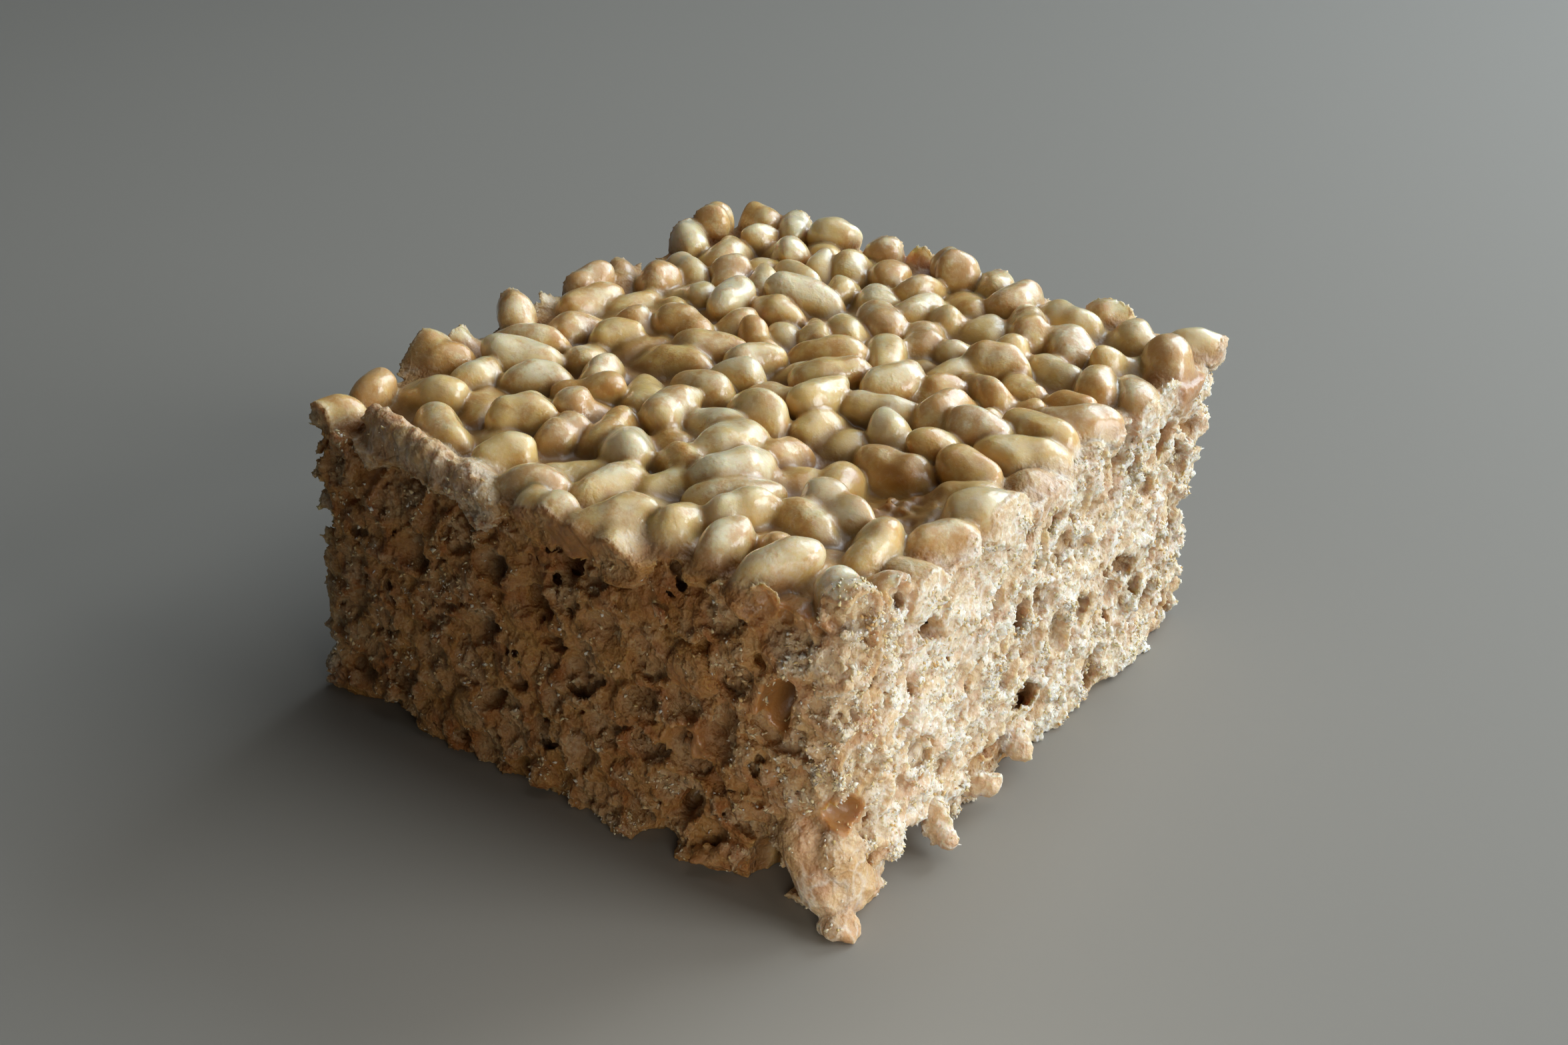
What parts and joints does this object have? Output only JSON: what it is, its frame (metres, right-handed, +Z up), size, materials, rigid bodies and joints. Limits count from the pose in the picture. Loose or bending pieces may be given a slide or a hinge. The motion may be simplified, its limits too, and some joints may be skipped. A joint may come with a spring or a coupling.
{
  "type": "crisp rice treat",
  "caption": "Square slab of puffed rice held together with marshmallow, whole kernels on top, knife-cut crumbly sides and a torn near corner.",
  "frame": {"origin": "middle of the treat's bounding box, on the surface that it rests on", "axes": "+Z up through the slab's thickness, +Y along its slightly longer side. -Y and +X are the two cut sides that the picture shows, and they meet at the near corner"},
  "size_m": [0.0582, 0.0622, 0.0296],
  "materials": {
    "toasted_cereal": "toasted puffed rice under a thin sticky glaze, satin on top and matte crumb on the cut sides"
  },
  "bodies": {
    "root": {"treat": "toasted_cereal"}
  },
  "joints": []
}
